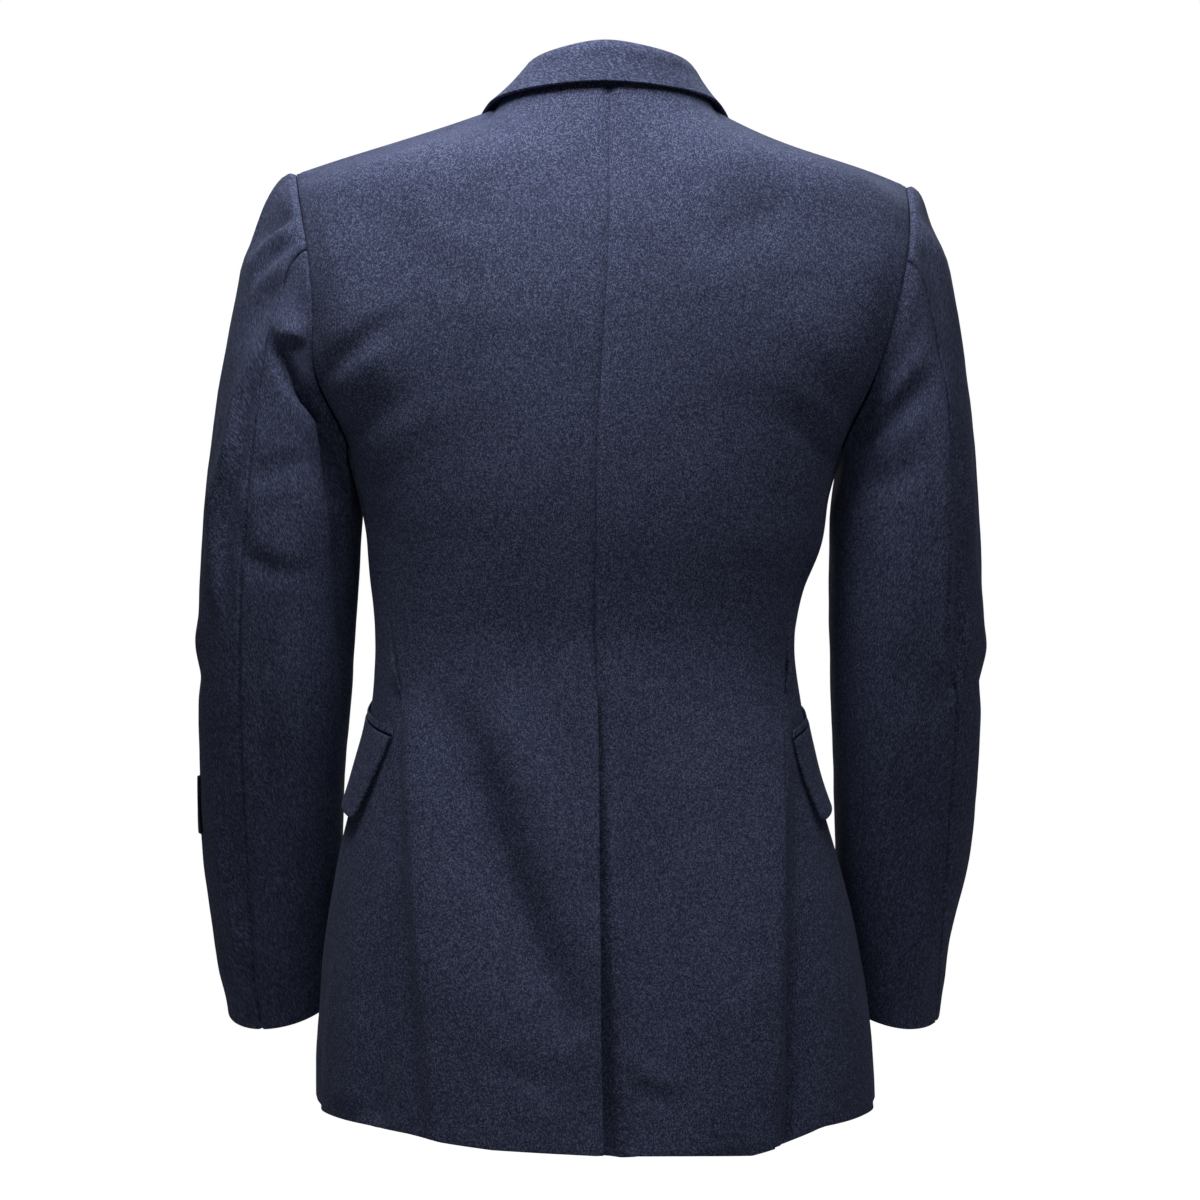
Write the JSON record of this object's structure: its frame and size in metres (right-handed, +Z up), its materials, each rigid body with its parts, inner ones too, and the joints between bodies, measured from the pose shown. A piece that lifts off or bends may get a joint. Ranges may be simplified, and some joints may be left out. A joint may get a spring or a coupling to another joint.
{
  "type": "military dress tunic",
  "caption": "Single-breasted wool dress tunic in a worn, hollow pose, with a turned collar, slanted flap pockets, two-piece sleeves and a centre back vent.",
  "frame": {"origin": "middle of the neck opening, at the height of the collar seam at the nape, where the wearer holds it up", "axes": "+Z up along the body, -Y towards the front, +X towards the wearer's left"},
  "size_m": [0.5721, 0.281, 0.7716],
  "materials": {
    "wool": "slate blue heather wool, matt with a faint nap",
    "patch": "plain dark woven patch",
    "brass": "plain gilt, softly polished"
  },
  "bodies": {
    "root": {"back_left": "wool", "back_right": "wool", "side_left": "wool", "side_right": "wool", "front_left": "wool", "front_right": "wool", "lapel_left": "wool", "lapel_right": "wool", "collar": "wool", "sleeve_top_left": "wool", "sleeve_under_left": "wool", "sleeve_top_right": "wool", "sleeve_under_right": "wool", "flap_left": "wool", "flap_right": "wool", "welt_left": "wool", "welt_right": "wool", "belt_loop_left": "wool", "belt_loop_right": "wool", "sleeve_patch": "patch", "button_1": "brass", "button_2": "brass", "button_3": "brass", "button_4": "brass"}
  },
  "joints": []
}
